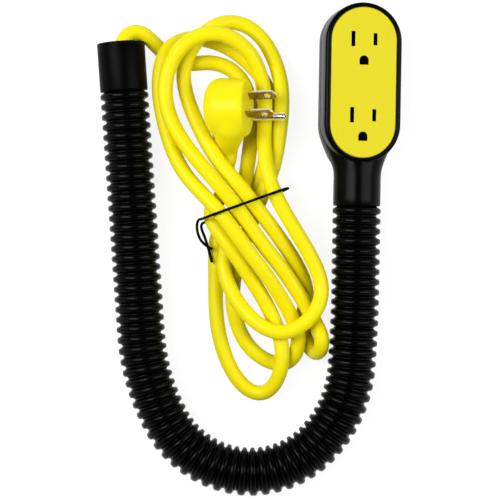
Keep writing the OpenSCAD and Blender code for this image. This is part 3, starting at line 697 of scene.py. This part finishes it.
for x, y in SCREWS:
    sink_rows = [
        ring_of(x, y, SINK_R, SINK_DEPTH - HEAD_BACK), ring_of(x, y, SINK_R, SINK_EDGE - HEAD_BACK),
        ring_of(x, y, SINK_R + SINK_EDGE, -HEAD_BACK),
    ]
    loft(back, sink_rows, True)
bmesh.ops.remove_doubles(back, verts=back.verts[:], dist=0.01)
TOUCH = 0.02
open_edges = [
    e for e in back.edges
    if e.is_boundary
    and all(abs(v.co.z + HEAD_BACK) < TOUCH and v.co.y > FLAT_FROM - TOUCH for v in e.verts)
]
bmesh.ops.triangle_fill(back, use_beauty=True, edges=open_edges)
bmesh.ops.recalc_face_normals(back, faces=back.faces[:])
back.transform(head_place)
back_shell = settle("head_back_shell", back, head_black, "head", ["head_back_shell"], 50)
thicken(back_shell, SHELL_WALL)

# The head's screws: four bright steel pan-head screws with a cross recess.
# They sit in the back shell's sunk holes and cut their own thread in the front shell's posts.
SCREW_HEAD_R, SCREW_R, SCREW_TOP, SCREW_SEAT, SCREW_END = 2.6, 1.4, -10.3, -8.7, 2
SCREW_POINT_R, SCREW_POINT = 0.2, 1.6
CROSS_ARM, CROSS_HALF, CROSS_DEPTH, CROSS_TAPER = 1.35, 0.32, 0.8, 0.7
crown = [(0, 0.7), (0.2, 0.3), (0.6, 0.05), (0.9, 0)]


def cross(scale, rise):
    """A cross-shaped loop at one height."""
    arm, half = CROSS_ARM * scale, CROSS_HALF * scale
    corner = [(half, half), (half, arm), (-half, arm)]
    quarter = [Matrix.Rotation(math.pi / 2 * k, 2) for k in range(4)]
    return [(*(turn @ Vector(p)), rise) for turn in quarter for p in corner]


screws = bmesh.new()
for x, y in SCREWS:
    screw = bmesh.new()
    rows = [(SCREW_POINT_R, SCREW_END), (SCREW_R, SCREW_END - SCREW_POINT)]
    rows += [(SCREW_R, SCREW_SEAT), (SCREW_HEAD_R, SCREW_SEAT)]
    rows += [(SCREW_HEAD_R - inset, SCREW_TOP + sunk) for inset, sunk in crown]
    rim = loft(screw, [ring_of(0, 0, r, z) for r, z in rows], True)
    recess = loft(screw, [cross(CROSS_TAPER, SCREW_TOP + CROSS_DEPTH), cross(1, SCREW_TOP)], True)
    bmesh.ops.triangle_fill(screw, use_beauty=True, edges=rim + recess)
    bmesh.ops.holes_fill(screw, edges=[e for e in screw.edges if e.is_boundary])
    bmesh.ops.recalc_face_normals(screw, faces=screw.faces[:])
    screw.transform(Matrix.Translation((x, y, 0)))
    part = bpy.data.meshes.new("screw")
    screw.to_mesh(part)
    screw.free()
    screws.from_mesh(part)
screws.transform(head_place)
settle("head_screws", screws, steel, "head", ["head_screws"], 30)

# The face: a yellow moulded plate with a rounded edge, held in the rim by a flange behind it.
# Each of its two outlets has a long and a short blade slot and a ground hole with one flat side,
# and the walls of these holes get the dark plastic as painted shade, for the shade deep in the holes.
FACE_HALF, FACE_NEAR, FACE_FAR = 18.75, 45.6, 93
FLANGE_HALF, FLANGE_TOP, FLANGE_BOTTOM = 19.7, 11.4, 9.5
FACE_ROUND, SLOT_ROUND, SLOT_CORNER, GROUND_CORNER = 0.7, 0.12, 0.25, 0.4
FLANGE_LAND, FACE_LAND, SLOT_LAND = 0.5, 0.4, 0.3
OUTLETS = (50.9, 93.7)
BLADE_GAP, GROUND_GAP = 12.7, 11.9
SLOT_W, NEUTRAL_SLOT, LINE_SLOT, GROUND_HOLE = 2.2, 8.6, 6.8, 5.2
FACE_MID, HOLES_REACH, UPRIGHT = 69.3, 36, 0.1


def slot_loop(x, y, wide, long, grow, rise):
    """A slot's outline with small round corners, drawn out by grow."""
    corner = SLOT_CORNER + grow
    loop = []
    for k, (sx, sy) in enumerate([(1, 1), (-1, 1), (-1, -1), (1, -1)]):
        centre = (x + sx * (wide / 2 + grow - corner), y + sy * (long / 2 + grow - corner))
        loop += [(*p, rise) for p in rounded(centre, corner, 90 * k, 90 * k + 90, 3)]
    return loop


def ground_loop(x, y, grow, rise):
    """The ground hole's outline: round towards the blade slots, square towards the neck."""
    half = GROUND_HOLE / 2 + grow
    corner = GROUND_CORNER + grow
    loop = rounded((x, y), half, 0, 180, 16)
    loop += rounded((x - half + corner, y - half + corner), corner, 180, 270, 4)
    loop += rounded((x + half - corner, y - half + corner), corner, 270, 360, 4)
    return [(*p, rise) for p in loop]


def face_plastic(tint):
    cloudy = speckle(tint, 30)
    grain = speckle(tint, 0.35, 3)
    return {
        "Base Color": between(tint, cloudy, (0.715, 0.625, 0.008), (0.76, 0.665, 0.01)),
        "Roughness": 0.4 + 0.1 * cloudy,
        "Specular IOR Level": 0.2,
        "Normal": bumped(tint, grain, 0.02),
    }


face = bmesh.new()
face_steps = [
    (FLANGE_HALF - FLANGE_LAND, FLANGE_BOTTOM), (FLANGE_HALF, FLANGE_BOTTOM),
    (FLANGE_HALF, FLANGE_TOP), (FACE_HALF, FLANGE_TOP),
]
face_steps += [
    (FACE_HALF - inset, rise)
    for inset, rise in rounded((FACE_ROUND, HEAD_FRONT - FACE_ROUND), FACE_ROUND, 180, 90, 5)
]
face_steps.append((FACE_HALF - FACE_ROUND - FACE_LAND, HEAD_FRONT))
loft(face, [oblong(half, FACE_NEAR, FACE_FAR, rise) for half, rise in face_steps], True)
rim_turn = [(0, FLANGE_BOTTOM), (0, HEAD_FRONT - SLOT_ROUND)] + [
    (SLOT_ROUND + grow, rise) for grow, rise in rounded((0, HEAD_FRONT - SLOT_ROUND), SLOT_ROUND, 180, 90, 4)
] + [(SLOT_ROUND + SLOT_LAND, HEAD_FRONT)]
for y in OUTLETS:
    for x, long in ((-BLADE_GAP / 2, NEUTRAL_SLOT), (BLADE_GAP / 2, LINE_SLOT)):
        loft(face, [slot_loop(x, y, SLOT_W, long, grow, rise) for grow, rise in rim_turn], True)
    loft(face, [ground_loop(0, y - GROUND_GAP, grow, rise) for grow, rise in rim_turn], True)
bmesh.ops.remove_doubles(face, verts=face.verts[:], dist=0.005)
for level in (HEAD_FRONT, FLANGE_BOTTOM):
    edges = [e for e in face.edges if e.is_boundary and all(abs(v.co.z - level) < TOUCH for v in e.verts)]
    bmesh.ops.triangle_fill(face, use_beauty=True, edges=edges)
bmesh.ops.recalc_face_normals(face, faces=face.faces[:])
# Painted shade: the upright walls near the holes take the second, dark slot.
for wall in face.faces:
    painted_shade_zone = all(abs(v.co.x) < BLADE_GAP and abs(v.co.y - FACE_MID) < HOLES_REACH for v in wall.verts)
    wall.material_index = 1 if painted_shade_zone and abs(wall.normal.z) < UPRIGHT else 0
face.transform(head_place)
face_yellow = finish("face_yellow_plastic", face_plastic)
face_plate = settle("face_plate", face, face_yellow, "head", ["face_plate"], 35)
# The dark plastic as a second slot, put on the hole walls as painted shade.
face_plate.data.materials.append(dark_plastic_and_hole_shade)

# Behind the face: the insulating carrier, three brass strips with their contacts, three wires
# from the cable, the clamp that holds the cable in the neck, and the insert that grips the hose.
# The strips are painted dark brown, far darker than brass, as painted shade for their place deep behind the
# face.
def strip_brass_painted_shade(tint):
    dull = speckle(tint, 3)
    return {
        "Base Color": between(tint, dull, (0.09, 0.06, 0.025), (0.16, 0.11, 0.045)),
        "Metallic": 1.0,
        "Roughness": 0.45 + 0.2 * dull,
        "Normal": bumped(tint, speckle(tint, 0.3), 0.004),
    }


def insulation(colour):
    """The coating of one wire, a little uneven in shade."""

    def coat(tint):
        bloom = speckle(tint, 3)
        return {
            "Base Color": between(tint, bloom, [c * 0.8 for c in colour], colour),
            "Roughness": 0.35 + 0.15 * bloom,
            "Normal": bumped(tint, speckle(tint, 0.5), 0.006),
        }

    return coat


dress(dark_plastic_and_hole_shade, "outlet_carrier", "cable_clamp", "neck_insert")
dress(finish("strip_brass_painted_shade", strip_brass_painted_shade), "line_bus", "neutral_bus", "ground_bus")
dress(finish("line_black", insulation((0.02, 0.02, 0.022))), "line_wire")
dress(finish("neutral_white", insulation((0.78, 0.78, 0.75))), "neutral_wire")
dress(finish("ground_green", insulation((0.03, 0.3, 0.07))), "ground_wire")
dress(steel, "clamp_screws")

# The plug: a round yellow PVC body moulded in one with the tail that guards the cord.
# The PVC is poured round the blades and their insert, so nothing parts it from the tail.
# Its face looks to the right and a little up, and the tail runs down its left side.
PLUG_R, PLUG_FACE_R, PLUG_LEN, PLUG_ROUND, FACE_EDGE = 16.9, 16.1, 24, 9, 1.2
TAIL_TIP_R, TAIL_ROOT_R, TAIL_GAP, TAIL_EDGE = 4.9, 9.2, 0.2, 0.5
SHOULDER_FOOT_R, SHOULDER_R = 6, 11
MELT_VOXEL, MELT_ROUNDS, FOLD_ROUNDS, SHOULDER_REACH = 0.45, 8, 40, 24
plug_face = Vector((-0.3, 80, 30))
tail_tip = tail_point + tail_way * TAIL_GAP
shoulder_foot, shoulder_top = Vector((-12, 58, 14)), Vector((-10.5, 72, 30))
PLUG_LEAN, PLUG_ROLL = math.radians(77), math.radians(-33)
plug_place = (
    Matrix.Translation(plug_face)
    @ Matrix.Rotation(PLUG_LEAN, 4, "Y")
    @ Matrix.Rotation(PLUG_ROLL, 4, "Z")
)


def melt(*shells):
    """Fuses closed shells that overlap into one skin, with soft corners where they meet."""
    shared = bmesh.new()
    for shell in shells:
        part = bpy.data.meshes.new("shell")
        shell.to_mesh(part)
        shell.free()
        shared.from_mesh(part)
    data = bpy.data.meshes.new("melt")
    shared.to_mesh(data)
    shared.free()
    mould = bpy.data.objects.new("melt", data)
    scene.collection.objects.link(mould)
    fused = mould.modifiers.new("fused", "REMESH")
    fused.mode = "VOXEL"
    fused.voxel_size = MELT_VOXEL
    solid = mould.evaluated_get(bpy.context.evaluated_depsgraph_get())
    skin = bmesh.new()
    skin.from_mesh(solid.to_mesh())
    bpy.data.objects.remove(mould)
    folds = [v for v in skin.verts if (v.co - shoulder_top).length < SHOULDER_REACH]
    for softened, rounds in ((skin.verts[:], MELT_ROUNDS), (folds, FOLD_ROUNDS)):
        for _ in range(rounds):
            bmesh.ops.smooth_vert(
                skin, verts=softened, factor=0.5, use_axis_x=True, use_axis_y=True, use_axis_z=True
            )
    bmesh.ops.recalc_face_normals(skin, faces=skin.faces[:])
    return skin


plug_back = rounded((PLUG_R - PLUG_ROUND, PLUG_ROUND - PLUG_LEN), PLUG_ROUND, -90, 0, 14)
plug_front = rounded((PLUG_FACE_R - FACE_EDGE, -FACE_EDGE), FACE_EDGE, 0, 90, 5)
plug_profile = [(0, -PLUG_LEN)] + plug_back + plug_front + [(0, 0)]
plug_shell = lathe(plug_profile, 96, False)
plug_shell.transform(plug_place)


def taper(foot, top, foot_r, top_r):
    """A cone from foot that runs into a ball at top."""
    run = (top - foot).length
    lean = math.degrees(math.asin((top_r - foot_r) / run))
    profile = [(0, 0)] + rounded((foot_r - TAIL_EDGE, TAIL_EDGE), TAIL_EDGE, -90, 0)
    profile += rounded((0, run), top_r, -lean, 90, 12)[:-1] + [(0, run + top_r)]
    made = lathe(profile, 64, False)
    made.transform(Matrix.Translation(foot) @ (top - foot).to_track_quat("Z", "Y").to_matrix().to_4x4())
    return made


tail_shell = taper(tail_tip, tail_root, TAIL_TIP_R, TAIL_ROOT_R)
shoulder = taper(shoulder_foot, shoulder_top, SHOULDER_FOOT_R, SHOULDER_R)
plug_skin = melt(plug_shell, tail_shell, shoulder)
plug = settle("plug", plug_skin, cord_pvc, "base", ["plug_body", "plug_tail"], 60)
dress(dark_plastic_and_hole_shade, "plug_insert")

# The blades and the pin: plated brass, the blades stamped flat with a hole near the tip, the pin turned.
# All three are held in the insert inside the plug and stand out of its face.
BLADE_LINE = -3
BLADE_W, BLADE_T, BLADE_LEN, BLADE_HOLD, BLADE_TAPER = 6.35, 1.5, 15.8, 8, 1.6
BLADE_HOLE_R, BLADE_HOLE_AT, BLADE_EDGE = 1.9, 5, 0.2
FLAT_SIDE = 0.9
PIN_R, PIN_LEN, PIN_EDGE, PIN_AXIS = 2.375, 20, 0.2, 0.01


def plated(low, high):
    """Plated brass, rubbed a little unevenly between two shades."""

    def metal(tint):
        rubbed = speckle(tint, 2.5)
        return {
            "Base Color": between(tint, rubbed, low, high),
            "Metallic": 1.0,
            "Roughness": 0.16 + 0.14 * rubbed,
            "Normal": bumped(tint, speckle(tint, 0.4), 0.004),
        }

    return metal


# Two copies of the same plated brass: the darker one on the blades' flat faces is painted shade, the
# brighter one on their edges is painted highlight, and the pin wears the brighter one too.
shaded_blade_brass = finish("blade_face_brass_painted_shade", plated((0.30, 0.20, 0.05), (0.44, 0.31, 0.10)))
bright_brass_and_edge_highlight = finish("bright_brass_pin_and_edge_highlight", plated((0.78, 0.70, 0.48), (0.90, 0.84, 0.66)))
blade_tip = [
    (-BLADE_W / 2, -BLADE_HOLD), (BLADE_W / 2, -BLADE_HOLD), (BLADE_W / 2, BLADE_LEN - BLADE_TAPER),
    (BLADE_W / 2 - BLADE_TAPER, BLADE_LEN), (BLADE_TAPER - BLADE_W / 2, BLADE_LEN),
    (-BLADE_W / 2, BLADE_LEN - BLADE_TAPER),
]
blades = []
for name, side in (("neutral_blade", -1), ("line_blade", 1)):
    blade = bmesh.new()
    outer = loft(blade, [[(x, 0, z) for x, z in blade_tip]], True)
    hole = ring_of(0, BLADE_LEN - BLADE_HOLE_AT, BLADE_HOLE_R, 0)
    inner = loft(blade, [[(x, 0, z) for x, z, _ in hole]], True)
    sheet = bmesh.ops.triangle_fill(blade, use_beauty=True, edges=outer + inner)["geom"]
    sheet = [part for part in sheet if isinstance(part, bmesh.types.BMFace)]
    pressed = bmesh.ops.extrude_face_region(blade, geom=sheet)["geom"]
    pressed = [part for part in pressed if isinstance(part, bmesh.types.BMVert)]
    bmesh.ops.translate(blade, vec=(0, BLADE_T, 0), verts=pressed)
    bmesh.ops.recalc_face_normals(blade, faces=blade.faces[:])
    rims = [e for e in blade.edges if e.is_manifold and e.calc_face_angle() > math.radians(60)]
    bmesh.ops.bevel(
        blade, geom=rims, offset=BLADE_EDGE, offset_type="OFFSET", affect="EDGES", segments=2, profile=0.5,
        material=-1, clamp_overlap=True,
    )
    # Painted light: flat faces take the darker copy as painted shade, and edges take the brighter copy as
    # painted highlight.
    for rim in blade.faces:
        rim.material_index = 0 if abs(rim.normal.y) > FLAT_SIDE else 1
    blade.transform(plug_place @ Matrix.Translation((BLADE_LINE, side * BLADE_GAP / 2 - BLADE_T / 2, 0)))
    blades.append(settle(name, blade, shaded_blade_brass, "base", [name], 30))
    blades[-1].data.materials.append(bright_brass_and_edge_highlight)

pin_profile = [(PIN_AXIS, -BLADE_HOLD), (PIN_R - PIN_EDGE, -BLADE_HOLD), (PIN_R, PIN_EDGE - BLADE_HOLD)]
pin_profile += rounded((PIN_AXIS, PIN_LEN - PIN_R), PIN_R - PIN_AXIS, 0, 90, 9)
pin = lathe(pin_profile, 40, False)
bmesh.ops.holes_fill(pin, edges=[e for e in pin.edges if e.is_boundary])
bmesh.ops.recalc_face_normals(pin, faces=pin.faces[:])
pin.transform(plug_place @ Matrix.Translation((BLADE_LINE + GROUND_GAP, 0, 0)))
ground_pin = settle("ground_pin", pin, bright_brass_and_edge_highlight, "base", ["ground_pin"], 40)
